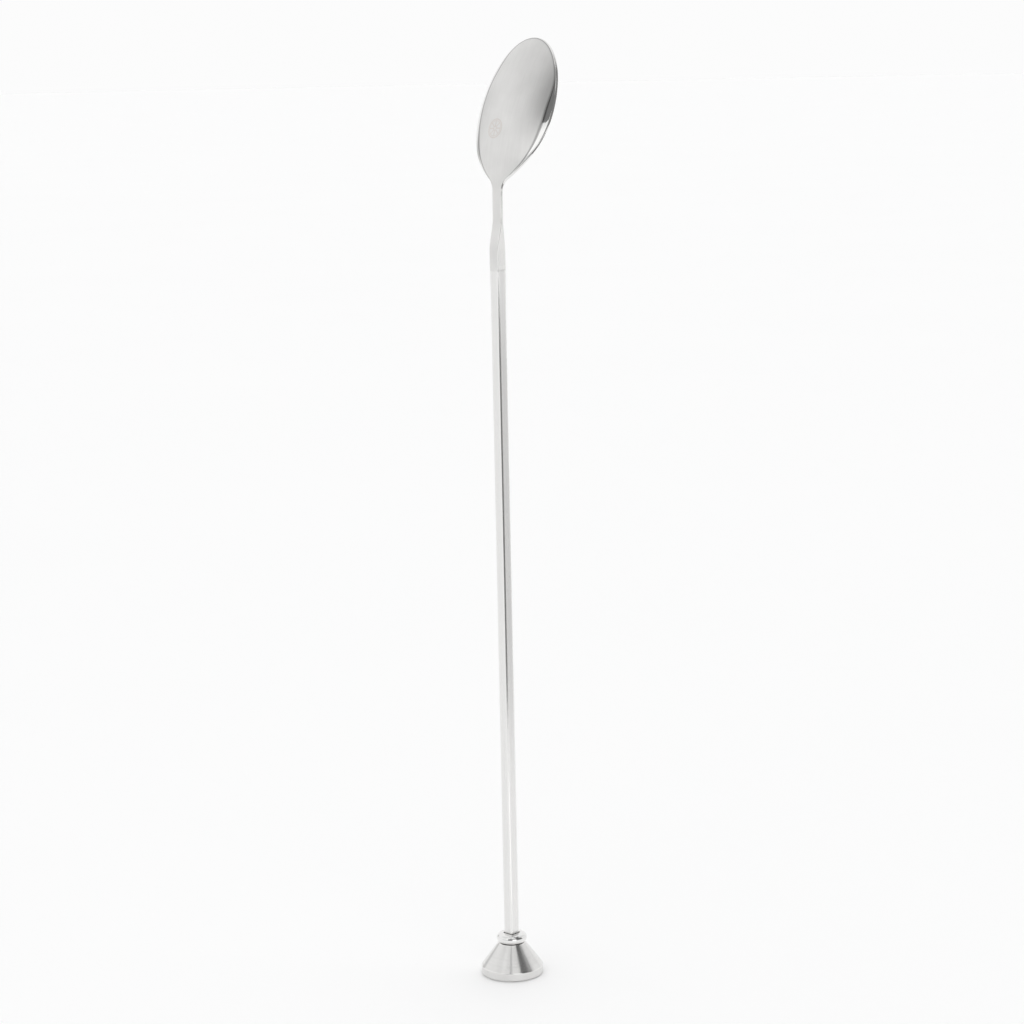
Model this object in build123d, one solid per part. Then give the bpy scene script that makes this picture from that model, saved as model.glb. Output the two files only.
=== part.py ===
"""Bar spoon with a square stem and a weighted muddler foot.

Millimetres. Origin at the centre of the foot's flat base, +Z up the stem, +Y towards the hollow
side of the bowl, X across the bowl.
"""
import os
from math import asin, cos, degrees, radians, sin, sqrt

from build123d import *

# Overall
overall_height = 330.0

# Foot: a turned cone on a short cylindrical band
foot_diameter = 22.0
foot_band_height = 3.0
foot_height = 11.4
foot_top_diameter = 9.6
foot_base_round = 0.5
foot_shoulder_round = 0.3

# Collar bead: the polished ring between the foot and the stem
bead_diameter = 10.8
bead_height = 3.4
bead_socket_depth = 0.8
socket_lip_round = 0.35

# Stem: square drawn rod with a turned spigot
stem_width = 4.0
stem_corner_round = 0.6
spigot_diameter = 3.0
spigot_grip = 6.5
spigot_chamfer = 0.3

# Butt weld between the stem and the neck
weld_height = 0.6

# Neck: forged from the square section of the stem down to a thin strip
neck_square_length = 5.5
neck_taper_length = 12.5
neck_strip_length = 4.6
neck_strip_width = 4.2

# Bowl: stamped sheet on a back that is curved both ways, with an egg-shaped rim
sheet_thickness = 1.0
bowl_width = 33.8
bowl_tip_length = 26.6
bowl_root_length = 26.4
bowl_root_distance = 6.0
bowl_pitch = 22.8
bowl_spine_radius = 85.0
bowl_cross_radius = 35.8
bowl_root_round = 5.0
root_narrowing = 0.4
root_narrowing_power = 3.4
root_outline_shares = (0.9, 0.75, 0.55, 0.3, 0.0)
tip_outline_shares = (0.3, 0.55, 0.75, 0.9)

# Stock that the sheet has past its trimmed outline, and past the tip
trim_margin = 2.0
trim_margin_angle = 15.0

# How finely the neck's taper is worked out, and the least bow that its square end keeps
neck_levels = 6
least_bow_share = 0.02

# How near a point counts as on a height or a line
place_tolerance = 0.01

# Clearances
spigot_clearance = 0.03
socket_clearance = 0.05
hole_end_gap = 0.5

# Places that follow from the sizes above
bead_base_z = foot_height
bead_top_z = foot_height + bead_height
stem_shoulder_z = bead_top_z - bead_socket_depth
hole_radius = spigot_diameter / 2 + spigot_clearance
widest_distance = bowl_root_distance + bowl_root_length
tip_distance = widest_distance + bowl_tip_length


def spine_angle_at(rim_distance):
    """Angle round the spine arc at which the back reaches a distance along the rim line."""
    pitch = radians(bowl_pitch)
    reach = rim_distance - bowl_spine_radius * sin(pitch)
    return degrees(asin(reach / bowl_spine_radius) + pitch)


tip_angle = spine_angle_at(tip_distance)
neck_top_z = overall_height - bowl_spine_radius * sin(radians(tip_angle))
taper_top_z = neck_top_z - neck_strip_length
taper_base_z = taper_top_z - neck_taper_length
weld_base_z = taper_base_z - neck_square_length - weld_height


def tip_half_width(share):
    """Half width between the widest place, share 0, and the tip, share 1: an ellipse."""
    return bowl_width / 2 * sqrt(1 - share ** 2)


def root_half_width(share):
    """Half width between the widest place, share 0, and the root, share 1: a narrowed ellipse."""
    ellipse = bowl_width / 2 * sqrt(1 - share ** 2)
    return ellipse * (1 - root_narrowing * share ** root_narrowing_power)


def root_share_of(half_width):
    """Share of the root length at which the outline has narrowed to a half width, by halving."""
    low = 0.0
    high = 1.0
    halvings = 40
    for _ in range(halvings):
        middle = (low + high) / 2
        if root_half_width(middle) > half_width:
            low = middle
        else:
            high = middle
    return middle


def make_foot():
    """Turned steel cone with a blind hole in its top for the spigot."""
    radius = foot_diameter / 2
    with BuildPart() as foot:
        with BuildSketch(Plane.XZ):
            with BuildLine():
                Polyline(
                    (0, 0),
                    (radius, 0),
                    (radius, foot_band_height),
                    (foot_top_diameter / 2, foot_height),
                    (0, foot_height),
                    close=True,
                )
            make_face()
        revolve(axis=Axis.Z)
        rims = foot.edges().filter_by(GeomType.CIRCLE).sort_by(Axis.Z)
        fillet(rims[0], foot_base_round)
        rims = foot.edges().filter_by(GeomType.CIRCLE).sort_by(Axis.Z)
        shoulder = [e for e in rims if abs(e.center().Z - foot_band_height) < place_tolerance]
        fillet(shoulder, foot_shoulder_round)
        with Locations((0, 0, foot_height)):
            depth = spigot_grip + hole_end_gap
            Cylinder(hole_radius, depth, align=(Align.CENTER, Align.CENTER, Align.MAX), mode=Mode.SUBTRACT)
    return foot.part


def make_bead():
    """Polished ring with a rounded rim, a round hole and a square socket whose lip rolls in."""
    round_radius = bead_height / 2
    flat_radius = bead_diameter / 2 - round_radius
    with BuildPart() as bead:
        with BuildSketch(Plane.XZ):
            with BuildLine():
                Line((0, bead_base_z), (flat_radius, bead_base_z))
                ThreePointArc(
                    (flat_radius, bead_base_z),
                    (bead_diameter / 2, bead_base_z + round_radius),
                    (flat_radius, bead_top_z),
                )
                Line((flat_radius, bead_top_z), (0, bead_top_z))
                Line((0, bead_top_z), (0, bead_base_z))
            make_face()
        revolve(axis=Axis.Z)
        with Locations((0, 0, bead_base_z)):
            Cylinder(hole_radius, bead_height, align=(Align.CENTER, Align.CENTER, Align.MIN), mode=Mode.SUBTRACT)
        with BuildSketch(Plane.XY.offset(stem_shoulder_z)):
            side = stem_width + 2 * socket_clearance
            RectangleRounded(side, side, stem_corner_round)
        extrude(amount=bead_socket_depth, mode=Mode.SUBTRACT)
        top = bead.faces().filter_by(Axis.Z).sort_by(Axis.Z)[-1]
        fillet(top.inner_wires()[0].edges(), socket_lip_round)
    return bead.part


def make_stem():
    """Square rod with eased corners and a round spigot that grips the foot."""
    spigot_length = stem_shoulder_z - foot_height + spigot_grip
    with BuildPart() as stem:
        with BuildSketch(Plane.XY.offset(stem_shoulder_z)):
            RectangleRounded(stem_width, stem_width, stem_corner_round)
        extrude(amount=weld_base_z - stem_shoulder_z)
        with Locations((0, 0, stem_shoulder_z)):
            Cylinder(spigot_diameter / 2, spigot_length, align=(Align.CENTER, Align.CENTER, Align.MAX))
        tip_edge = stem.edges().filter_by(GeomType.CIRCLE).sort_by(Axis.Z)[0]
        chamfer(tip_edge, spigot_chamfer)
    return stem.part


def make_weld():
    """Weld metal between the stem and the neck, ground flush with both."""
    with BuildPart() as weld:
        with BuildSketch(Plane.XY.offset(weld_base_z)):
            RectangleRounded(stem_width, stem_width, stem_corner_round)
        extrude(amount=weld_height)
    return weld.part


def strip_section(height, back, front, half_width, cross_radius):
    """One level of the neck: straight sides, and a back and front bowed to a radius."""
    def bow(radius):
        return radius - sqrt(radius ** 2 - half_width ** 2)

    back_bow = bow(cross_radius)
    front_bow = bow(cross_radius - sheet_thickness)
    with BuildSketch(Plane.XY.offset(height)) as section:
        with BuildLine():
            ThreePointArc((-half_width, back + back_bow), (0, back), (half_width, back + back_bow))
            Line((half_width, back + back_bow), (half_width, front + front_bow))
            ThreePointArc((half_width, front + front_bow), (0, front), (-half_width, front + front_bow))
            Line((-half_width, front + front_bow), (-half_width, back + back_bow))
        make_face()
    return section.sketch.faces()[0]


def make_neck():
    """Square stub that thins smoothly to the strip which runs into the bowl."""
    sections = []
    for step in range(neck_levels + 1):
        share = step / neck_levels
        ease = (1 - cos(radians(180 * share))) / 2
        back = -stem_width / 2 * (1 - ease)
        front = stem_width / 2 + (sheet_thickness - stem_width / 2) * ease
        half_width = stem_width / 2 + (neck_strip_width - stem_width) / 2 * ease
        cross_radius = bowl_cross_radius / max(ease, least_bow_share)
        height = taper_base_z + neck_taper_length * share
        sections.append(strip_section(height, back, front, half_width, cross_radius))
    taper = loft(sections)
    stub = extrude(sections[0], amount=neck_square_length, dir=(0, 0, -1))
    strip = extrude(sections[-1], amount=neck_strip_length, dir=(0, 0, 1))
    return stub + taper + strip


def bowl_outline():
    """Plan of the strip and the bowl on the rim line: X across, the second axis along the rim."""
    neck_half = neck_strip_width / 2
    start_share = root_share_of(neck_half)
    start = (neck_half, widest_distance - bowl_root_length * start_share)
    right = []
    for share in root_outline_shares:
        right.append((root_half_width(share), widest_distance - bowl_root_length * share))
    for share in tip_outline_shares:
        right.append((tip_half_width(share), widest_distance + bowl_tip_length * share))
    left = [(-x, y) for x, y in reversed(right)]
    end = (-start[0], start[1])
    below = -trim_margin
    back = (0, -cos(radians(bowl_pitch)), sin(radians(bowl_pitch)))
    rim_plane = Plane(origin=(0, 0, neck_top_z), x_dir=(1, 0, 0), z_dir=back)
    with BuildSketch(rim_plane) as plan:
        with BuildLine():
            Spline([start] + right + [(0, tip_distance)] + left + [end])
            Polyline(end, (-neck_half, below), (neck_half, below), start)
        make_face()
        corners = [v for v in plan.vertices() if abs(v.Y - start[1]) < place_tolerance]
        fillet(corners, bowl_root_round)
    return plan.sketch


def make_bowl():
    """Stamped bowl and forged neck in one piece."""
    with BuildSketch(Plane.XY.offset(neck_top_z)) as sheet:
        half = bowl_width / 2 + trim_margin
        inner = bowl_cross_radius - sheet_thickness
        back_bow = bowl_cross_radius - sqrt(bowl_cross_radius ** 2 - half ** 2)
        front_bow = bowl_cross_radius - sqrt(inner ** 2 - half ** 2)
        with BuildLine():
            ThreePointArc((-half, back_bow), (0, 0), (half, back_bow))
            Line((half, back_bow), (half, front_bow))
            ThreePointArc((half, front_bow), (0, sheet_thickness), (-half, front_bow))
            Line((-half, front_bow), (-half, back_bow))
        make_face()
    spine_axis = Axis((0, bowl_spine_radius, neck_top_z), (-1, 0, 0))
    dome = revolve(sheet.sketch, axis=spine_axis, revolution_arc=tip_angle + trim_margin_angle)
    plan = bowl_outline()
    trim_depth = tip_distance / 2
    blank = extrude(plan, amount=trim_depth, both=True)
    shell = dome & blank
    return shell + make_neck()


def main():
    """Build every piece and write one STEP file for each."""
    os.makedirs("parts", exist_ok=True)
    pieces = {
        "foot": make_foot(),
        "collar_bead": make_bead(),
        "stem": make_stem(),
        "neck_weld": make_weld(),
        "spoon_bowl": make_bowl(),
    }
    for name, piece in pieces.items():
        piece.label = name
        export_step(piece, f"parts/{name}.step")


main()
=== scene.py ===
"""Looks of a bar spoon: brushed bowl and neck, square linished stem, mirror bead, turned foot.

Shapes are worked out in millimetres on numpy grids and put into meshes in metres. +Z runs up the
stem, +Y towards the hollow side of the bowl, X across the bowl.
"""

from math import asin, cos, pi, radians, sin

import bpy
import numpy as np
from mathutils import Matrix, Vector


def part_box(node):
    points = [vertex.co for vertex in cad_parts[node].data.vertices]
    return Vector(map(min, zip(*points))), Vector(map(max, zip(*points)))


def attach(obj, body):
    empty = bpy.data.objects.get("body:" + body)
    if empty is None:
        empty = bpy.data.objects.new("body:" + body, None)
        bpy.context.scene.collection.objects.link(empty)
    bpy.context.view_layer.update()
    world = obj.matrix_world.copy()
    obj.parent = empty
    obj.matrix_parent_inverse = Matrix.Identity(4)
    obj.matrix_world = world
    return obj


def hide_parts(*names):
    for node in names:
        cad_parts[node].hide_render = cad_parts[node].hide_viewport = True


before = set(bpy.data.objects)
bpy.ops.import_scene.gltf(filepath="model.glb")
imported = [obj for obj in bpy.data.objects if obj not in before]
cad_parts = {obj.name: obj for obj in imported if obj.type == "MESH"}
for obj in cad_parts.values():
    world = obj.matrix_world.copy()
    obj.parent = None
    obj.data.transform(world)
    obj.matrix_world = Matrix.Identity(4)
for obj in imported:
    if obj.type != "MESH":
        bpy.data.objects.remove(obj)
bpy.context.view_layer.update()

MM = 0.001
SHARP_EDGE = radians(32)

# Heights and widths that the frame gives
foot_box = [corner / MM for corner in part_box("foot")]
bead_box = [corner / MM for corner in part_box("collar_bead")]
weld_box = [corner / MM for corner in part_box("neck_weld")]
bowl_box = [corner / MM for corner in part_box("spoon_bowl")]
stem_box = [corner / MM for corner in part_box("stem")]
FOOT_RADIUS = foot_box[1].x
FOOT_TOP = foot_box[1].z
BEAD_RADIUS = bead_box[1].x
BEAD_BASE = bead_box[0].z
BEAD_TOP = bead_box[1].z
STEM_HALF = stem_box[1].x
SPIGOT_END = stem_box[0].z
WELD_BASE = weld_box[0].z
WELD_TOP = weld_box[1].z
BOWL_HALF = bowl_box[1].x
TIP_Z = bowl_box[1].z

# Foot, bead and stem
FOOT_BAND = 3.0
FOOT_TOP_RADIUS = 4.8
FOOT_ROUNDS = (0.5, 0.32, 0.16)
FOOT_WORN_BAND = 0.22
FOOT_WORN_BASE = 0.25
HOLE_RADIUS = 1.53
HOLE_DEPTH = 7.0
HOLE_ROUND = 0.1
DRILL_POINT = 0.6
SOCKET_DEPTH = 0.8
SOCKET_GAP = 0.05
SOCKET_LIP = 0.35
SPIGOT_RADIUS = 1.5
THREAD_PITCH = 0.5
THREAD_DEPTH = 0.27
THREAD_RUN_OUT = 0.6
THREAD_NECK = 1.2
SPIGOT_END_CUT = 0.3
SPIGOT_END_LENGTH = 0.35
STEM_CORNER = 0.6
WELD_CORNER = 0.28
NECK_CORNER = 0.16
CORNER_EASING = 14
WORN_FROM = 1.12
WORN_TO = 1.24

# Neck
TAPER_LENGTH = 12.5
STRIP_LENGTH = 4.6
STRIP_HALF = 2.1
LEAST_BOW = 0.02

# Bowl: a sheet curved both ways, trimmed to an egg-shaped rim on a pitched plane
SHEET = 1.0
PITCH = radians(22.8)
SPINE_RADIUS = 85.0
CROSS_RADIUS = 35.8
TIP_LENGTH = 26.6
ROOT_LENGTH = 26.4
WIDEST = 32.4
ROOT_ROUND = 5.0
ROOT_NARROWING = 0.4
ROOT_POWER = 3.4
RIM_ROUND = 0.3
BAND_LEAST = 0.35
BAND_RIGHT = 2.05
BAND_LEFT = 2.95
BAND_MOST = 0.45
BAND_SLOPE = (0.06, 0.2, 0.4, 0.7, 1)
BAND_TILT = 0.09
TIP_DISTANCE = WIDEST + TIP_LENGTH
TIP_ANGLE = asin((TIP_DISTANCE - SPINE_RADIUS * sin(PITCH)) / SPINE_RADIUS) + PITCH
NECK_TOP = TIP_Z - SPINE_RADIUS * sin(TIP_ANGLE)

# Etched mark on the back of the bowl: a plain citrus wheel
MARK_ACROSS = -3.7
MARK_ALONG = 24.6
MARK_RADIUS = 3.4

# Millimetres that one turn of each piece's flat map stands for, and where the bowl's map starts
BOWL_MAP = 100
BOWL_MAP_START = (0.5, 0.3)
BAR_MAP = 400
BEAD_MAP = 20
FOOT_MAP = 40

# Steel colours
SATIN = (0.8, 0.795, 0.785)
SATIN_DARK = (0.7, 0.695, 0.685)
STEM_LIGHT = (0.83, 0.826, 0.817)
STEM_DARK = (0.79, 0.786, 0.777)
BEAD_LIGHT = (0.85, 0.848, 0.84)
BEAD_DARK = (0.8, 0.797, 0.788)
POLISH_DARK = (0.79, 0.785, 0.775, 1)
POLISH_LIGHT = (0.83, 0.828, 0.82, 1)
# Painted shade: a dark line along the crease where the bowl's crown meets its polished band
CREASE_PAINTED_SHADE = (0.12, 0.12, 0.12, 1)
ETCH_DARK = (0.66, 0.6, 0.56, 1)
ETCH_LIGHT = (0.7, 0.645, 0.6, 1)
# Painted shade: near black on the lip and wall of the bead's socket, where the gap round the stem is in
# shade
SOCKET_PAINTED_SHADE = (0.02, 0.02, 0.02, 1)


def smooth(value, start, end):
    """0 before start, 1 after end, and 3t^2 - 2t^3 in between."""
    t = np.clip((value - start) / (end - start), 0, 1)
    return t * t * (3 - 2 * t)


# Meshes from grids

def grid_faces(rows, columns):
    """Corner numbers of the quads of a rows by columns grid of points, stored row by row."""
    i, j = np.meshgrid(np.arange(rows - 1), np.arange(columns - 1), indexing="ij")
    first = (i * columns + j).ravel()
    return np.stack([first, first + 1, first + columns + 1, first + columns], axis=1)


def closed_volume(points, quads):
    """Six times the volume inside the quads: the sum of a . (b x c) over two triangles of each."""
    a, b, c, d = (points[quads[:, k]] for k in range(4))
    return np.sum(a * np.cross(b, c)) + np.sum(a * np.cross(c, d))


def make_piece(name, points, quads, across_along=None, values=None):
    """Mesh object from points in millimetres; points at one place are merged, faces turned outwards."""
    keys = np.round(points, 5)
    _, first, merged = np.unique(keys, axis=0, return_index=True, return_inverse=True)
    quads = merged.reshape(-1)[quads]
    points = points[first]
    if closed_volume(points, quads) < 0:
        quads = quads[:, ::-1]
    following = np.roll(quads, -1, axis=1)
    real = quads != following
    faces = [face[keep].tolist() for face, keep in zip(quads, real) if keep.sum() > 2]
    mesh = bpy.data.meshes.new(name)
    mesh.from_pydata((points * MM).tolist(), [], faces)
    mesh.shade_smooth()
    mesh.set_sharp_from_angle(angle=SHARP_EDGE)
    corners = np.zeros(len(mesh.loops), np.int32)
    mesh.loops.foreach_get("vertex_index", corners)
    if across_along is not None:
        flat = mesh.uv_layers.new(name="flat")
        flat.data.foreach_set("uv", across_along[first][corners].astype(np.float32).ravel())
    for key, value in (values or {}).items():
        attribute = mesh.attributes.new(key, "FLOAT", "POINT")
        attribute.data.foreach_set("value", value[first].astype(np.float32))
    piece = bpy.data.objects.new(name, mesh)
    bpy.context.scene.collection.objects.link(piece)
    return piece


def rounded_path(corners, radii, step):
    """Polyline through corners whose bends are arcs: each arc is tangent to both of its runs."""
    corners = [np.array(c, float) for c in corners]
    parts = [corners[0][None]]
    for k in range(1, len(corners) - 1):
        before = corners[k - 1] - corners[k]
        after = corners[k + 1] - corners[k]
        before = before / np.linalg.norm(before)
        after = after / np.linalg.norm(after)
        half = np.arccos(np.clip(before @ after, -1, 1)) / 2
        reach = radii[k] / np.tan(half)
        centre = corners[k] + (before + after) / np.linalg.norm(before + after) * radii[k] / np.sin(half)
        start = corners[k] + before * reach - centre
        end = corners[k] + after * reach - centre
        turn = pi - 2 * half
        share = np.linspace(0, 1, 9)[:, None]
        arc = (np.sin((1 - share) * turn) * start + np.sin(share * turn) * end) / np.sin(turn)
        parts.append(centre + arc)
    parts.append(corners[-1][None])
    rough = np.concatenate(parts)
    fine = [rough[:1]]
    for a, b in zip(rough[:-1], rough[1:]):
        count = max(1, int(np.ceil(np.linalg.norm(b - a) / step)))
        fine.append(a + (b - a) * (np.arange(1, count + 1) / count)[:, None])
    return np.concatenate(fine)


def square_polar(half, corner, per_side, per_corner):
    """Angles round a rounded square, with points on each side and each corner's arc."""
    flat = half - corner
    side = np.stack([np.full(per_side, half), np.linspace(-flat, flat, per_side)], axis=1)
    angles = np.linspace(0, pi / 2, per_corner + 2)[1:-1]
    arc = np.stack([flat + corner * np.cos(angles), flat + corner * np.sin(angles)], axis=1)
    quarter = np.concatenate([side, arc])
    sides = [np.arctan2(quarter[:, 1], quarter[:, 0]) + turn * pi / 2 for turn in range(4)]
    angles = np.concatenate(sides)
    return np.append(angles, angles[0] + 2 * pi)


def square_radius(angle, half, corner):
    """Distance from the centre to a rounded square: half / cos on a side, and on a corner's arc
    the far crossing of the ray with the circle of radius corner."""
    turned = np.abs((angle + pi / 4) % (pi / 2) - pi / 4)
    centre = half - corner
    side = half / np.cos(turned)
    along = centre * (np.cos(turned) + np.sin(turned))
    under = np.maximum(along ** 2 - 2 * centre ** 2 + corner ** 2, 0)
    return np.where(half * np.tan(turned) > centre, along + np.sqrt(under), side)


def revolve(radius, height, angles):
    """Points at radius(row, angle) and height(row, angle) round Z."""
    x = radius * np.cos(angles)
    y = radius * np.sin(angles)
    return np.stack([x, y, height + 0 * x], axis=-1).reshape(-1, 3)


# Bowl and neck

def plan_curve(turn):
    """Outline of the bowl at an angle from -90 degrees, the root, to 90, the tip: half an ellipse
    each way. The root's is narrowed by 1 less ROOT_NARROWING times s to the power ROOT_POWER,
    where s is the share of its length."""
    share = np.abs(np.sin(turn))
    across = BOWL_HALF * np.cos(turn)
    narrowed = across * (1 - ROOT_NARROWING * share ** ROOT_POWER)
    at_root = turn < 0
    x = np.where(at_root, narrowed, across)
    along = WIDEST + np.where(at_root, -ROOT_LENGTH, TIP_LENGTH) * share
    return x, along


def rim_half():
    """Right half of the outline from the neck's weld to the tip: stub, taper, strip, the arc that
    leads out of the strip, and the bowl's own curve."""
    turns = np.linspace(-pi / 2, pi / 2, 4001)
    x, along = plan_curve(turns)
    centre_x = STRIP_HALF + ROOT_ROUND
    low = -20.0
    high = 20.0
    for _ in range(50):
        centre = (low + high) / 2
        gap = np.hypot(x - centre_x, along - centre)
        if gap.min() > ROOT_ROUND:
            low = centre
        else:
            high = centre
    touch = int(np.argmin(gap))
    end_angle = np.arctan2(along[touch] - centre, x[touch] - centre_x)
    below = np.concatenate([
        np.linspace(WELD_TOP - NECK_TOP, -STRIP_LENGTH - TAPER_LENGTH, 5)[:-1],
        np.linspace(-STRIP_LENGTH - TAPER_LENGTH, -STRIP_LENGTH, 41)[:-1],
        np.linspace(-STRIP_LENGTH, centre, 17)[:-1],
    ])
    angle = np.linspace(pi, end_angle, 25)[:-1]
    arc_x = centre_x + ROOT_ROUND * np.cos(angle)
    arc_along = centre + ROOT_ROUND * np.sin(angle)
    bowl_x, bowl_along = plan_curve(np.linspace(turns[touch], pi / 2, 230))
    bowl_x[-1] = 0
    rim_x = np.concatenate([neck_half_width(below), arc_x, bowl_x])
    rim_along = np.concatenate([below, arc_along, bowl_along])
    reach = (TIP_LENGTH ** 2 - BOWL_HALF ** 2) / TIP_LENGTH ** 2
    past = np.maximum(rim_along - WIDEST, 0)
    return rim_x, rim_along, np.minimum(rim_along, WIDEST) + past * reach


def neck_ease(along):
    """0 on the square stub, 1 on the strip, and half a cosine wave along the taper."""
    share = np.clip((along + STRIP_LENGTH + TAPER_LENGTH) / TAPER_LENGTH, 0, 1)
    return (1 - np.cos(pi * share)) / 2


def neck_half_width(along):
    """Half width of the neck, from the stem's to the strip's."""
    return STEM_HALF + (STRIP_HALF - STEM_HALF) * neck_ease(along)


def sheet_point(x, along, depth):
    """Place at x across and along the rim line, at a depth from 0, the back, to 1, the front.
    Above the neck the back is a torus: an arc of the cross radius swept round the spine's centre,
    met along the rim plane's normal. Below, it is the neck's section at that height."""
    sag_back = CROSS_RADIUS - np.sqrt(CROSS_RADIUS ** 2 - x ** 2)
    sag_front = CROSS_RADIUS - np.sqrt((CROSS_RADIUS - SHEET) ** 2 - x ** 2)
    sag = sag_back + (sag_front - sag_back) * depth
    far = SPINE_RADIUS * cos(PITCH)
    rest = along ** 2 - 2 * SPINE_RADIUS * along * sin(PITCH) + SPINE_RADIUS ** 2
    out = np.sqrt(np.maximum(far ** 2 - rest + (SPINE_RADIUS - sag) ** 2, 0)) - far
    bowl_y = along * sin(PITCH) - out * cos(PITCH)
    bowl_z = NECK_TOP + along * cos(PITCH) + out * sin(PITCH)
    ease = neck_ease(along)
    bend = np.maximum(ease, LEAST_BOW)
    back = -STEM_HALF * (1 - ease) + sag_back * bend
    front = STEM_HALF + (SHEET - STEM_HALF) * ease + (sag_front - SHEET) * bend
    drop = SHEET * np.tan(PITCH) * smooth(along, -STRIP_LENGTH, 0) * depth
    neck_y = back + (front - back) * depth
    neck_z = NECK_TOP + along - drop
    in_bowl = along >= 0
    y = np.where(in_bowl, bowl_y, neck_y)
    z = np.where(in_bowl, bowl_z, neck_z)
    return np.stack([x + 0 * y, y, z], axis=-1)


def band_widths(along):
    """Widths of the polished band inside the rim on the right and on the left. Both grow from an
    eased edge on the neck; the right one narrows again soon after the bowl's middle, and the left
    one, which was buffed deeper, only near the tip."""
    right = smooth(along, 7, 27) * (1 - smooth(along, 31, 46))
    left = smooth(along, 4, 24) * (1 - 0.25 * smooth(along, 26, 46))
    left = left * (1 - smooth(along, 46, TIP_DISTANCE))
    return (
        BAND_LEAST + (BAND_RIGHT - BAND_LEAST) * right,
        BAND_LEAST + (BAND_LEFT - BAND_LEAST) * left,
    )


def skin_half(rim_x, rim_along, middle, width):
    """Grid of the right half's skin, for a band of a given width: places across, along the rim
    line and in depth, from the middle of the back out over the crown, the polished band, the
    rounded rim and in again over the hollow side; and at each column the finish and the painted shade line
    at the crease."""
    length = np.hypot(rim_x, rim_along - middle)
    band = np.minimum(width, BAND_MOST * length)
    thick = SHEET + (2 * STEM_HALF - SHEET) * (1 - neck_ease(rim_along))
    tilt = BAND_TILT * smooth(rim_along, 6, 12)
    crown = np.linspace(0, 1, 25)
    crown_inset = length[:, None] - (length - band)[:, None] * crown
    slope = np.array(BAND_SLOPE)
    band_inset = band[:, None] - (band[:, None] - RIM_ROUND) * slope
    bend = np.linspace(0, pi / 2, 7)[1:]
    back_inset = RIM_ROUND * (1 - np.sin(bend)) * np.ones_like(length)[:, None]
    inset = np.concatenate([crown_inset, band_inset, back_inset], axis=1)
    depth = tilt[:, None] * np.maximum(band[:, None] - inset, 0)
    depth[:, -len(bend):] += RIM_ROUND * (1 - np.cos(bend))
    front_inset = np.concatenate([back_inset[:, ::-1], crown_inset[:, ::-1]], axis=1)
    front_depth = thick[:, None] + np.zeros_like(front_inset)
    front_depth[:, :len(bend)] -= RIM_ROUND * (1 - np.cos(bend[::-1]))
    inset = np.concatenate([inset, front_inset], axis=1)
    depth = np.concatenate([depth, front_depth], axis=1)
    share = 1 - inset / length[:, None]
    x = rim_x[:, None] * share
    along = middle[:, None] + (rim_along - middle)[:, None] * share
    band_end = len(crown) + len(slope)
    rim_end = band_end + 2 * len(bend)
    on_bowl = smooth(rim_along, 4, 9)[:, None]
    columns = np.arange(x.shape[1])
    finish_and_painted_shade = {
        "polish": on_bowl * ((columns >= len(crown)) & (columns < rim_end)),
        # Painted shade mask: the columns round the crease between the crown and the polished band
        "crease_painted_shade": on_bowl * ((columns >= len(crown) - 1) & (columns < len(crown) + 2)),
        "wear": np.ones_like(on_bowl) * ((columns >= band_end - 1) & (columns < rim_end)),
        "hollow": np.ones_like(on_bowl) * (columns >= rim_end),
    }
    return sheet_point(x, along, depth / thick[:, None]), x, along, finish_and_painted_shade


def bowl_and_neck():
    """Closed skin of the bowl and neck from a right and a left half that share the middle lines
    and the rim, and a flat cap where the neck meets the weld."""
    rim_x, rim_along, middle = rim_half()
    halves = [skin_half(rim_x, rim_along, middle, width) for width in band_widths(rim_along)]
    rows, columns = halves[0][1].shape
    faces = grid_faces(rows, columns)
    other = faces[:, ::-1] + rows * columns
    across = np.arange(columns - 1)
    cap = np.stack([across, across + rows * columns, across + 1 + rows * columns, across + 1], axis=1)
    points = []
    flat = []
    for side, (place, x, along, _) in zip((1, -1), halves):
        points.append(place.reshape(-1, 3) * [side, 1, 1])
        u = BOWL_MAP_START[0] + side * x / BOWL_MAP
        v = BOWL_MAP_START[1] + along / BOWL_MAP
        flat.append(np.stack([u, v], axis=-1).reshape(-1, 2))
    finish_and_painted_shade = {key: np.concatenate([half[3][key].ravel() for half in halves]) for key in halves[0][3]}
    quads = np.concatenate([faces, other, cap])
    return make_piece("bowl_and_neck", np.concatenate(points), quads, np.concatenate(flat), finish_and_painted_shade)


# Stem, weld, bead and foot

def square_bar(name, heights, corners, foot_rows=None):
    """Square bar: at each height a rounded square whose corner radius is given, closed by a flat
    fan at the top, and at the bottom by a fan or by the rows of a round spigot."""
    angles = square_polar(STEM_HALF, STEM_CORNER, 9, 13)
    radius = square_radius(angles[None], STEM_HALF, corners[:, None])
    height = heights[:, None] + 0 * radius
    wear = smooth(radius, STEM_HALF * WORN_FROM, STEM_HALF * WORN_TO)
    if foot_rows is None:
        foot_rows = (np.zeros((1, len(angles))), np.full((1, len(angles)), heights[0]))
    radius = np.concatenate([foot_rows[0], radius, np.zeros((1, len(angles)))])
    height = np.concatenate([foot_rows[1], height, np.full((1, len(angles)), heights[-1])])
    wear = np.concatenate([0 * foot_rows[0], wear, np.zeros((1, len(angles)))])
    points = revolve(radius, height, angles[None])
    around = np.stack([angles[None] / (2 * pi) + 0 * radius, height / BAR_MAP], axis=-1).reshape(-1, 2)
    return make_piece(name, points, grid_faces(*radius.shape), around, {"wear": wear.ravel()})


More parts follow.
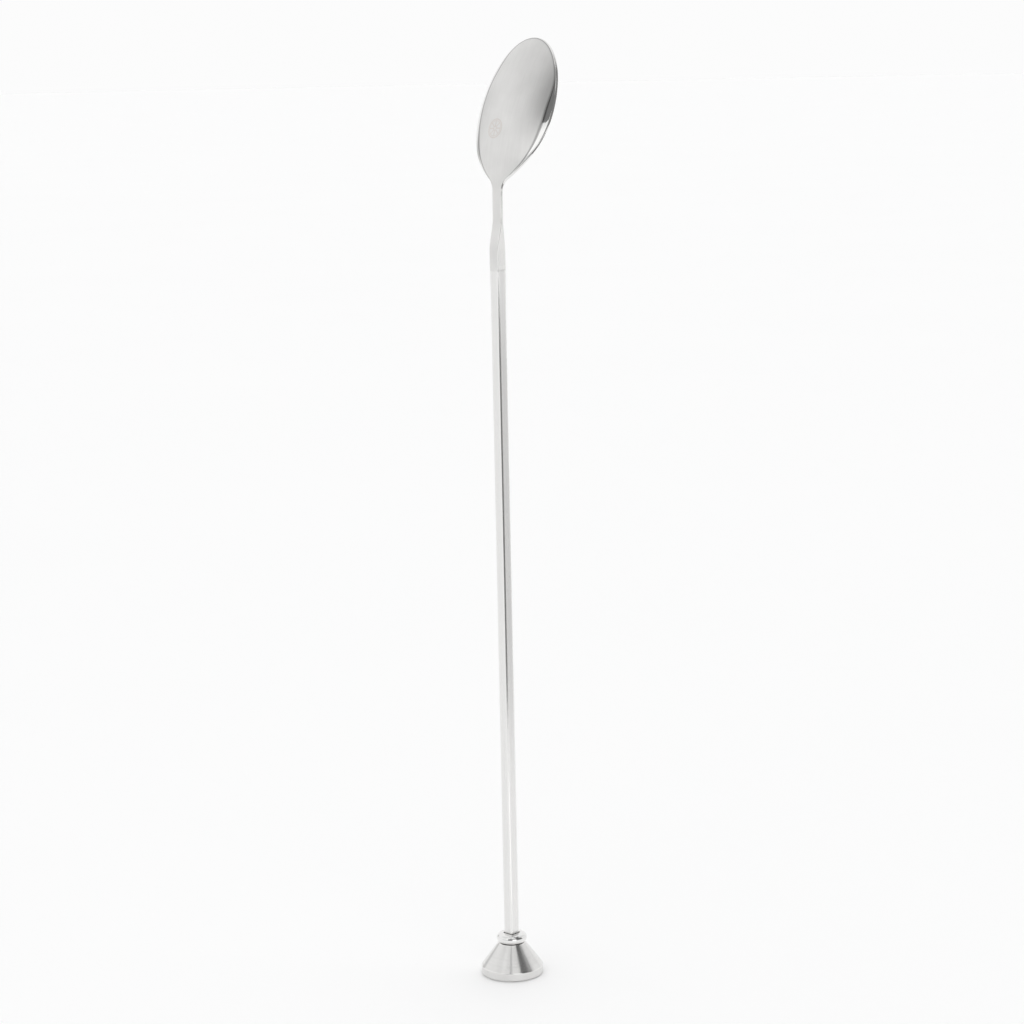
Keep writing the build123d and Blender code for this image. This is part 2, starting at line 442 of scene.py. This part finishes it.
def threaded_spigot(angles, shoulder):
    """Rows of the round end below the shoulder: a V thread, radius less a triangle wave of the
    height and the angle, that fades out at both ends."""
    rows = 97
    height = np.linspace(SPIGOT_END, shoulder, rows)[:, None] + 0 * angles[None]
    phase = (height / THREAD_PITCH - angles[None] / (2 * pi)) % 1
    wave = 1 - np.abs(2 * phase - 1)
    fade = smooth(height, SPIGOT_END, SPIGOT_END + THREAD_RUN_OUT)
    fade = fade * (1 - smooth(height, shoulder - THREAD_NECK, shoulder - THREAD_RUN_OUT))
    radius = SPIGOT_RADIUS - THREAD_DEPTH * wave * fade
    end = 1 - smooth(height, SPIGOT_END, SPIGOT_END + SPIGOT_END_LENGTH)
    radius = radius - SPIGOT_END_CUT * end
    tip = (0 * angles[None], height[:1])
    return np.concatenate([tip[0], radius]), np.concatenate([tip[1], height])


def stem():
    """Square rod whose corners are eased less near the weld, with a threaded spigot."""
    shoulder = BEAD_TOP - SOCKET_DEPTH
    heights = np.linspace(shoulder, WELD_BASE, 161)
    eased = smooth(heights, WELD_BASE - CORNER_EASING, WELD_BASE)
    corners = STEM_CORNER - (STEM_CORNER - WELD_CORNER) * eased
    angles = square_polar(STEM_HALF, STEM_CORNER, 9, 13)
    return square_bar("square_stem", heights, corners, threaded_spigot(angles, shoulder))


def weld():
    """Flush slice of weld metal whose corners sharpen from the stem's to the neck's."""
    heights = np.linspace(WELD_BASE, WELD_TOP, 5)
    corners = np.linspace(WELD_CORNER, NECK_CORNER, 5)
    return square_bar("ground_weld", heights, corners)


def bead():
    """Ring with a rounded rim: its top runs in to the square socket, rolls down the lip's quarter
    circle to the socket's wall and floor, and down the round hole."""
    angles = square_polar(STEM_HALF + SOCKET_GAP, STEM_CORNER, 13, 13)
    round_radius = (BEAD_TOP - BEAD_BASE) / 2
    middle = BEAD_BASE + round_radius
    bend = np.linspace(-pi / 2, pi / 2, 49)
    rim = BEAD_RADIUS - round_radius + round_radius * np.cos(bend)
    rim_height = middle + round_radius * np.sin(bend)
    socket = square_radius(angles[None], STEM_HALF + SOCKET_GAP, STEM_CORNER)
    flat = BEAD_RADIUS - round_radius
    lip = square_radius(angles[None], STEM_HALF + SOCKET_GAP + SOCKET_LIP, STEM_CORNER + SOCKET_LIP)
    share = np.linspace(0, 1, 9)[1:, None]
    top = flat + (lip - flat) * share
    ones = np.ones_like(angles)[None]
    roll = np.linspace(0, pi / 2, 9)[1:, None]
    lip_radius = socket + (lip - socket) * (1 - np.sin(roll))
    lip_height = (BEAD_TOP - SOCKET_LIP * (1 - np.cos(roll))) * ones
    floor = BEAD_TOP - SOCKET_DEPTH
    radius = np.concatenate([
        HOLE_RADIUS * ones, rim[:, None] * ones, top, lip_radius,
        socket, HOLE_RADIUS * ones, HOLE_RADIUS * ones,
    ])
    height = np.concatenate([
        BEAD_BASE * ones, rim_height[:, None] * ones, BEAD_TOP * np.ones_like(top), lip_height,
        floor * ones, floor * ones, BEAD_BASE * ones,
    ])
    points = revolve(radius, height, angles[None])
    around = np.stack([angles[None] / (2 * pi) + 0 * radius, height / BEAD_MAP], axis=-1).reshape(-1, 2)
    lip_start = 1 + len(rim) + len(share)
    wear = np.zeros_like(radius)
    wear[lip_start:lip_start + len(roll)] = 1
    # Painted shade mask: the lip and wall of the socket, painted near black by the bead's material
    crevice_painted_shade = np.zeros_like(radius)
    crevice_painted_shade[lip_start:-2] = 1
    return make_piece(
        "collar_ring", points, grid_faces(*radius.shape), around,
        {"wear": wear.ravel(), "crevice_painted_shade": crevice_painted_shade.ravel()},
    )


def foot():
    """Turned cone on a short band, with eased edges and a blind hole for the spigot."""
    corners = [
        (0, 0), (FOOT_RADIUS, 0), (FOOT_RADIUS, FOOT_BAND), (FOOT_TOP_RADIUS, FOOT_TOP),
        (HOLE_RADIUS, FOOT_TOP), (HOLE_RADIUS, FOOT_TOP - HOLE_DEPTH),
        (0, FOOT_TOP - HOLE_DEPTH - DRILL_POINT),
    ]
    profile = rounded_path(corners, [0, *FOOT_ROUNDS, HOLE_ROUND, HOLE_ROUND, 0], 0.25)
    angles = np.linspace(0, 2 * pi, 257)
    angles[-1] = 2 * pi
    radius = profile[:, :1] + 0 * angles[None]
    height = profile[:, 1:] + 0 * angles[None]
    points = revolve(radius, height, angles[None])
    points = points.reshape(len(profile), len(angles), 3)
    points[:, -1] = points[:, 0]
    run = np.concatenate([[0], np.cumsum(np.hypot(*np.diff(profile, axis=0).T))])
    around = np.stack([run[:, None] / FOOT_MAP + 0 * radius, angles[None] / (2 * pi) + 0 * radius], axis=-1)
    edge_heights = [FOOT_BAND, FOOT_TOP, FOOT_WORN_BASE]
    wear = sum(np.exp(-((height - edge) / FOOT_WORN_BAND) ** 2) for edge in edge_heights)
    return make_piece(
        "turned_foot", points.reshape(-1, 3), grid_faces(*radius.shape), around.reshape(-1, 2),
        {"wear": np.clip(wear, 0, 1).ravel()},
    )


# Materials

class Nodes:
    """Short ways to add and join the nodes of one tree."""

    def __init__(self, tree):
        self.tree = tree
        tree.nodes.clear()

    def add(self, kind, settings=None, **inputs):
        """New node; settings are its own values, inputs are numbers or sockets to join."""
        node = self.tree.nodes.new("ShaderNode" + kind)
        for key, value in (settings or {}).items():
            setattr(node, key, value)
        for key, value in inputs.items():
            self.put(node.inputs[key.replace("_", " ")], value)
        return node

    def put(self, socket, value):
        """Number, colour or output socket into an input socket."""
        if isinstance(value, bpy.types.NodeSocket):
            self.tree.links.new(value, socket)
        else:
            socket.default_value = value

    def maths(self, operation, first, second=None, third=None):
        """Math node's result."""
        node = self.add("Math", {"operation": operation})
        for socket, value in zip(node.inputs, (first, second, third)):
            if value is not None:
                self.put(socket, value)
        return node.outputs[0]

    def vector(self, operation, first, second=None):
        """Vector Math node, whole, because some results are its second output."""
        node = self.add("VectorMath", {"operation": operation})
        self.put(node.inputs[0], first)
        if second is not None:
            self.put(node.inputs[1], second)
        return node

    def ramp(self, value, low, high, to_low=0.0, to_high=1.0, kind="SMOOTHSTEP"):
        """Value from low..high to to_low..to_high."""
        node = self.add("MapRange", {"interpolation_type": kind})
        for key, number in (("Value", value), ("From Min", low), ("From Max", high),
                            ("To Min", to_low), ("To Max", to_high)):
            self.put(node.inputs[key], number)
        return node.outputs[0]

    def colours(self, share, first, second):
        """Mix of two colours."""
        node = self.add("Mix", {"data_type": "RGBA"})
        self.put(node.inputs[0], share)
        self.put(node.inputs[6], first)
        self.put(node.inputs[7], second)
        return node.outputs[2]

    def noise(self, place, scale, detail=3.0, roughness=0.6):
        """Noise between 0 and 1."""
        node = self.add("TexNoise", Vector=place, Scale=scale, Detail=detail, Roughness=roughness)
        return node.outputs[0]

    def attribute(self, name):
        """Number stored on the mesh's points."""
        return self.add("Attribute", {"attribute_name": name}).outputs["Fac"]


def steel_nodes(name, anisotropy):
    """New material with a metallic shader joined to its output."""
    material = bpy.data.materials.new(name)
    material.use_nodes = True
    nodes = Nodes(material.node_tree)
    shader = nodes.add("BsdfPrincipled", Metallic=1.0, Anisotropic=anisotropy)
    output = nodes.add("OutputMaterial")
    nodes.tree.links.new(shader.outputs[0], output.inputs[0])
    return material, nodes, shader


def stretched(nodes, factors):
    """Object coordinates in metres, stretched by a factor on each axis."""
    place = nodes.add("TexCoord").outputs["Object"]
    return nodes.vector("MULTIPLY", place, factors).outputs[0]


def finish_steel(nodes, shader, lines, clouds, colour, tint, rough, bump, wear):
    """Shared end of each steel: lines and clouds vary the colour, roughness and height, and worn
    edges are lighter and smoother."""
    tone = nodes.maths("ADD", nodes.maths("MULTIPLY", lines, 0.65), nodes.maths("MULTIPLY", clouds, 0.35))
    spread = nodes.ramp(tone, 0.3, 0.7, kind="LINEAR")
    base = nodes.colours(spread, (*tint, 1), (*colour, 1))
    light = [min(1, channel * 1.08) for channel in colour]
    base = nodes.colours(nodes.maths("MULTIPLY", wear, 0.6), base, (*light, 1))
    nodes.put(shader.inputs["Base Color"], base)
    varied = nodes.ramp(spread, 0, 1, rough * 1.14, rough * 0.88, kind="LINEAR")
    worn = nodes.maths("MULTIPLY_ADD", wear, -0.35 * rough, varied)
    nodes.put(shader.inputs["Roughness"], worn)
    height = nodes.add("Bump", Strength=bump, Distance=0.00002, Height=lines)
    nodes.put(shader.inputs["Normal"], height.outputs[0])
    return base, worn


def bowl_steel():
    """Satin steel belt brushed along the bowl and neck, with a polished band inside the rim, a
    painted shade line where the band meets the crown, and a faint etched citrus wheel on the back."""
    material, nodes, shader = steel_nodes("satin_bowl_steel", 0.55)
    flat = nodes.add("UVMap", {"uv_map": "flat"}).outputs[0]
    along = nodes.vector("MULTIPLY", flat, (1400, 26, 1)).outputs[0]
    fine = nodes.noise(along, 1.0)
    broad = nodes.noise(nodes.vector("MULTIPLY", flat, (260, 9, 1)).outputs[0], 1.0)
    streaks = nodes.noise(nodes.vector("MULTIPLY", flat, (75, 6, 1)).outputs[0], 1.0)
    lines = nodes.maths("ADD", nodes.maths("MULTIPLY", fine, 0.4), nodes.maths("MULTIPLY", broad, 0.3))
    lines = nodes.maths("MULTIPLY_ADD", streaks, 0.3, lines)
    clouds = nodes.noise(stretched(nodes, (120, 120, 120)), 1.0, 2.0)
    wear = nodes.attribute("wear")
    base, rough = finish_steel(nodes, shader, lines, clouds, SATIN, SATIN_DARK, 0.36, 0.16, wear)
    polish = nodes.attribute("polish")
    scratch = nodes.ramp(fine, 0.35, 0.75, 0.05, 0.1)
    rough = nodes.ramp(polish, 0, 1, rough, scratch, kind="LINEAR")
    bright = nodes.colours(nodes.ramp(clouds, 0.3, 0.7), POLISH_DARK, POLISH_LIGHT)
    base = nodes.colours(polish, base, bright)
    # Painted shade: the crease line is darkened towards near black in the base colour
    crease_painted_shade = nodes.maths("MULTIPLY", nodes.attribute("crease_painted_shade"), 0.64)
    base = nodes.colours(crease_painted_shade, base, CREASE_PAINTED_SHADE)
    mark = citrus_wheel(nodes, flat)
    mark = nodes.maths("MULTIPLY", mark, nodes.ramp(nodes.attribute("hollow"), 0, 1, 1, 0))
    etched = nodes.colours(clouds, ETCH_DARK, ETCH_LIGHT)
    nodes.put(shader.inputs["Base Color"], nodes.colours(nodes.maths("MULTIPLY", mark, 0.55), base, etched))
    nodes.put(shader.inputs["Roughness"], nodes.maths("MULTIPLY_ADD", mark, 0.1, rough))
    tangent = nodes.add("Tangent", {"direction_type": "UV_MAP", "uv_map": "flat"})
    nodes.put(shader.inputs["Tangent"], tangent.outputs[0])
    return material


def citrus_wheel(nodes, flat):
    """1 inside an etched line: an outer ring, a thinner inner ring, and eight spokes between the
    middle and the inner ring, drawn from the distance and angle about the mark's centre."""
    centre = (BOWL_MAP_START[0] + MARK_ACROSS / BOWL_MAP, BOWL_MAP_START[1] + MARK_ALONG / BOWL_MAP, 0)
    offset = nodes.vector("SUBTRACT", flat, centre).outputs[0]
    length = nodes.vector("LENGTH", offset).outputs["Value"]
    distance = nodes.maths("MULTIPLY", length, BOWL_MAP / MARK_RADIUS)
    split = nodes.add("SeparateXYZ", Vector=offset)
    angle = nodes.maths("ARCTAN2", split.outputs[1], split.outputs[0])
    spoke = nodes.maths("ABSOLUTE", nodes.maths("SINE", nodes.maths("MULTIPLY", angle, 4.0)))
    spoke = nodes.maths("MULTIPLY", spoke, distance)
    spokes = nodes.ramp(spoke, 0.16, 0.3, 1, 0)
    inside = nodes.ramp(distance, 0.74, 0.78, 1, 0)
    outside = nodes.ramp(distance, 0.1, 0.2)
    spokes = nodes.maths("MULTIPLY", spokes, nodes.maths("MULTIPLY", inside, outside))

    def ring(at, half):
        gap = nodes.maths("ABSOLUTE", nodes.maths("SUBTRACT", distance, at))
        return nodes.ramp(gap, half, half + 0.04, 1, 0)

    rings = nodes.maths("MAXIMUM", ring(0.95, 0.04), ring(0.78, 0.02))
    return nodes.maths("MAXIMUM", rings, spokes)


def stem_steel():
    """Fine lengthwise linishing, with corners that are a little polished."""
    material, nodes, shader = steel_nodes("linished_stem_steel", 0.5)
    fine = nodes.noise(stretched(nodes, (9000, 9000, 60)), 1.0)
    broad = nodes.noise(stretched(nodes, (800, 800, 15)), 1.0)
    lines = nodes.maths("ADD", nodes.maths("MULTIPLY", fine, 0.6), nodes.maths("MULTIPLY", broad, 0.4))
    clouds = nodes.noise(stretched(nodes, (90, 90, 30)), 1.0, 2.0)
    wear = nodes.attribute("wear")
    finish_steel(nodes, shader, lines, clouds, STEM_LIGHT, STEM_DARK, 0.28, 0.12, wear)
    tangent = nodes.add("Tangent", {"direction_type": "UV_MAP", "uv_map": "flat"})
    nodes.put(shader.inputs["Tangent"], tangent.outputs[0])
    return material


def weld_steel():
    """Ground weld: cross-hatched fine scratches, slightly greyer than the bar."""
    material, nodes, shader = steel_nodes("flush_weld_steel", 0.2)
    one = nodes.noise(stretched(nodes, (6000, 6000, 900)), 1.0)
    other = nodes.noise(stretched(nodes, (900, 900, 6000)), 1.0)
    lines = nodes.maths("ADD", nodes.maths("MULTIPLY", one, 0.5), nodes.maths("MULTIPLY", other, 0.5))
    clouds = nodes.noise(stretched(nodes, (900, 900, 900)), 1.0, 2.0)
    finish_steel(nodes, shader, lines, clouds, SATIN, SATIN_DARK, 0.33, 0.15, nodes.attribute("wear"))
    return material


def bead_steel():
    """Mirror polish with faint clouds and hairlines left by the buff, and near-black painted shade
    in the socket round the stem."""
    material, nodes, shader = steel_nodes("mirror_bead_steel", 0.1)
    lines = nodes.noise(stretched(nodes, (700, 700, 5200)), 1.0)
    clouds = nodes.noise(stretched(nodes, (420, 420, 420)), 1.0, 2.0)
    base, _ = finish_steel(
        nodes, shader, lines, clouds, BEAD_LIGHT, BEAD_DARK, 0.075, 0.03, nodes.attribute("wear"),
    )
    # Painted shade: the socket's lip and wall are painted near black
    socket_shade = nodes.maths("MULTIPLY", nodes.attribute("crevice_painted_shade"), 0.94)
    nodes.put(shader.inputs["Base Color"], nodes.colours(socket_shade, base, SOCKET_PAINTED_SHADE))
    return material


def foot_steel():
    """Satin turning: fine rings round the axis, from the distance to the axis and the height."""
    material, nodes, shader = steel_nodes("turned_foot_steel", 0.75)
    place = nodes.add("TexCoord").outputs["Object"]
    split = nodes.add("SeparateXYZ", Vector=place)
    flat = nodes.add("CombineXYZ", X=split.outputs[0], Y=split.outputs[1])
    distance = nodes.vector("LENGTH", flat.outputs[0]).outputs["Value"]
    drift = nodes.noise(stretched(nodes, (60, 60, 60)), 1.0, 1.0)
    rings_place = nodes.add(
        "CombineXYZ",
        X=nodes.maths("MULTIPLY", distance, 5200.0),
        Y=nodes.maths("MULTIPLY", split.outputs[2], 5200.0),
        Z=nodes.maths("MULTIPLY", drift, 2.0),
    )
    fine = nodes.noise(rings_place.outputs[0], 1.0)
    broad = nodes.noise(rings_place.outputs[0], 0.22)
    lines = nodes.maths("ADD", nodes.maths("MULTIPLY", fine, 0.6), nodes.maths("MULTIPLY", broad, 0.4))
    clouds = nodes.noise(stretched(nodes, (160, 160, 160)), 1.0, 2.0)
    finish_steel(nodes, shader, lines, clouds, SATIN, SATIN_DARK, 0.23, 0.16, nodes.attribute("wear"))
    tangent = nodes.add("Tangent", {"direction_type": "UV_MAP", "uv_map": "flat"})
    nodes.put(shader.inputs["Tangent"], tangent.outputs[0])
    return material


# Studio

# The floor's reach in metres, the plain tone behind the spoon, and the sky light's power and
# its spread, elevation and azimuth in degrees
FLOOR_REACH = 30.0
BACKDROP = 0.972
SKY_POWER = 0.69
SKY_SPREAD = 40
SKY_ELEVATION = 74
SKY_AZIMUTH = 190

# Camera: lens and sensor in millimetres, azimuth of its place from -Y, how far off the stem it
# points, how far down and its roll in degrees, and its distance and height in metres
LENS = 90.97
SENSOR = 36.0
CAMERA_PLACE = 43.584
CAMERA_OFF = -0.205
CAMERA_DOWN = 10.017
CAMERA_ROLL = 1.17
CAMERA_DISTANCE = 0.88652
CAMERA_HEIGHT = 0.32416


def floor():
    """Wide pale disc under the foot."""
    angles = np.linspace(0, 2 * pi, 129)[:-1]
    ring = np.stack([FLOOR_REACH * np.cos(angles), FLOOR_REACH * np.sin(angles), 0 * angles], axis=1)
    mesh = bpy.data.meshes.new("floor")
    mesh.from_pydata(ring.tolist(), [], [list(range(len(angles)))])
    disc = bpy.data.objects.new("floor", mesh)
    bpy.context.scene.collection.objects.link(disc)
    material = bpy.data.materials.new("pale_floor")
    material.use_nodes = True
    nodes = Nodes(material.node_tree)
    shader = nodes.add("BsdfPrincipled", Roughness=0.7)
    shader.inputs["Specular IOR Level"].default_value = 0.2
    cloud = nodes.noise(nodes.add("TexCoord").outputs["Object"], 3.0, 2.0)
    nodes.put(shader.inputs["Base Color"], nodes.colours(cloud, (0.9, 0.9, 0.9, 1), (0.91, 0.91, 0.91, 1)))
    output = nodes.add("OutputMaterial")
    nodes.tree.links.new(shader.outputs[0], output.inputs[0])
    mesh.materials.append(material)


def card(name, distance, left, right, low, high, tone):
    """Upright card that curves round the spoon at a distance, between two azimuths and two
    heights; only reflections see it."""
    angles = np.radians(np.linspace(left, right, 33))
    x = distance * np.sin(angles)
    y = -distance * np.cos(angles)
    points = np.concatenate([np.stack([x, y, 0 * x + z], axis=1) for z in (low, high)])
    mesh = bpy.data.meshes.new(name)
    count = len(angles)
    first = np.arange(count - 1)
    quads = np.stack([first, first + 1, first + 1 + count, first + count], axis=1)
    mesh.from_pydata(points.tolist(), [], quads.tolist())
    piece = bpy.data.objects.new(name, mesh)
    bpy.context.scene.collection.objects.link(piece)
    material = bpy.data.materials.new(name)
    material.use_nodes = True
    nodes = Nodes(material.node_tree)
    shader = nodes.add("Emission", Color=(1, 1, 1, 1), Strength=tone)
    output = nodes.add("OutputMaterial")
    nodes.tree.links.new(shader.outputs[0], output.inputs[0])
    mesh.materials.append(material)
    piece.visible_camera = False
    piece.visible_diffuse = False
    piece.visible_shadow = False
    piece.visible_transmission = False


# Cards near the spoon: distance in metres, from and to in degrees of azimuth, where 0 is towards
# -Y and 90 towards +X, from and to in metres of height, and brightness
CARDS = [
    ("stem_flag", 0.25, 14, 130, 0.035, 0.216, 0.2),
    ("bowl_flag", 0.15, -6, 60, 0.388, 0.64, 0.2),
    ("bowl_side_flag", 0.15, 60, 165, 0.272, 0.43, 0.24),
    ("bead_card", 0.08, 48, 78, 0.001, 0.05, 1.4),
    ("right_card", 0.4, 132, 168, 0.0, 0.25, 0.93),
]

# Bright walls and dark gaps round the studio: from and to in degrees of azimuth, from and to in
# degrees of elevation, softness, and brightness
WALL = 0.98
PANELS = [
    ("upper left wall", -75, -12, 42, 75, 8, 0.8),
    ("ceiling seam", 32, 39, 42, 62, 1.5, 0.35),
    ("right ceiling gap", 82, 124, 28, 80, 4, 0.12),
    ("right wall", 132, 175, 10, 60, 8, 0.8),
    ("front window", 0, 30, 13, 27, 2, 1.2),
    ("low front gap", -30, 28, 2, 11, 3, 0.6),
    ("left gap", -100, -86, -4, 20, 5, 0.62),
]


def studio_walls():
    """World light that varies with direction by the panels, and is plain and pale behind the spoon."""
    world = bpy.data.worlds.new("studio")
    bpy.context.scene.world = world
    world.use_nodes = True
    nodes = Nodes(world.node_tree)
    direction = nodes.add("TexCoord").outputs["Generated"]
    split = nodes.add("SeparateXYZ", Vector=direction)
    behind = nodes.maths("MULTIPLY", split.outputs[1], -1.0)
    azimuth = nodes.maths("DEGREES", nodes.maths("ARCTAN2", split.outputs[0], behind))
    elevation = nodes.maths("DEGREES", nodes.maths("ARCSINE", split.outputs[2]))
    light = WALL
    for _, left, right, low, high, soft, value in PANELS:
        sides = [
            nodes.ramp(azimuth, left - soft, left + soft),
            nodes.ramp(azimuth, right - soft, right + soft, 1, 0),
            nodes.ramp(elevation, low - soft, low + soft),
            nodes.ramp(elevation, high - soft, high + soft, 1, 0),
        ]
        inside = sides[0]
        for side in sides[1:]:
            inside = nodes.maths("MULTIPLY", inside, side)
        light = nodes.ramp(inside, 0, 1, light, value, kind="LINEAR")
    walls = nodes.add("Background", Strength=light)
    pale = nodes.add("Background", Strength=BACKDROP)
    seen = nodes.add("LightPath").outputs["Is Camera Ray"]
    mix = nodes.add("MixShader")
    for socket, value in zip(mix.inputs, (seen, walls.outputs[0], pale.outputs[0])):
        nodes.put(socket, value)
    for background in (walls, pale):
        background.inputs["Color"].default_value = (1, 1, 1, 1)
    output = nodes.add("OutputWorld")
    nodes.tree.links.new(mix.outputs[0], output.inputs[0])


def soft_sky():
    """Broad soft light from high up behind the spoon, the same all over the floor."""
    light = bpy.data.lights.new("soft_sky", "SUN")
    light.energy = SKY_POWER
    light.angle = radians(SKY_SPREAD)
    lamp = bpy.data.objects.new("soft_sky", light)
    bpy.context.scene.collection.objects.link(lamp)
    lamp.visible_glossy = False
    lamp.rotation_euler = (radians(90 - SKY_ELEVATION), 0, radians(SKY_AZIMUTH))


def camera():
    """Camera in front and to the right, a little above the bowl, tipped down and slightly rolled."""
    data = bpy.data.cameras.new("camera")
    data.lens = LENS
    data.sensor_width = SENSOR
    data.clip_end = 100.0
    eye = bpy.data.objects.new("camera", data)
    bpy.context.scene.collection.objects.link(eye)
    place = radians(CAMERA_PLACE)
    heading = place + radians(CAMERA_OFF)
    down = radians(CAMERA_DOWN)
    roll = radians(CAMERA_ROLL)
    ahead = np.array([-sin(heading), cos(heading), 0])
    side = np.array([cos(heading), sin(heading), 0])
    vertical = np.array([0, 0, 1.0])
    look = ahead * cos(down) - vertical * sin(down)
    over = vertical * cos(down) + ahead * sin(down)
    right = side * cos(roll) - over * sin(roll)
    up = side * sin(roll) + over * cos(roll)
    spot = np.array([CAMERA_DISTANCE * sin(place), -CAMERA_DISTANCE * cos(place), CAMERA_HEIGHT])
    turned = Matrix.Identity(4)
    for column, axis in enumerate((right, up, -look, spot)):
        for row in range(3):
            turned[row][column] = axis[row]
    eye.matrix_world = turned
    bpy.context.scene.camera = eye


camera()
floor()
for settings in CARDS:
    card(*settings)
studio_walls()
soft_sky()
bpy.context.scene.view_settings.view_transform = "Standard"

PIECES = [
    (bowl_and_neck, bowl_steel, "spoon_bowl", "satin_bowl_steel"),
    (stem, stem_steel, "stem", "linished_stem_steel"),
    (weld, weld_steel, "neck_weld", "flush_weld_steel"),
    (bead, bead_steel, "collar_bead", "mirror_bead_steel"),
    (foot, foot_steel, "foot", "turned_foot_steel"),
]
for make_shape, make_finish, node, slot in PIECES:
    piece = make_shape()
    piece.data.materials.append(make_finish())
    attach(piece, "root")
    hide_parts(node)
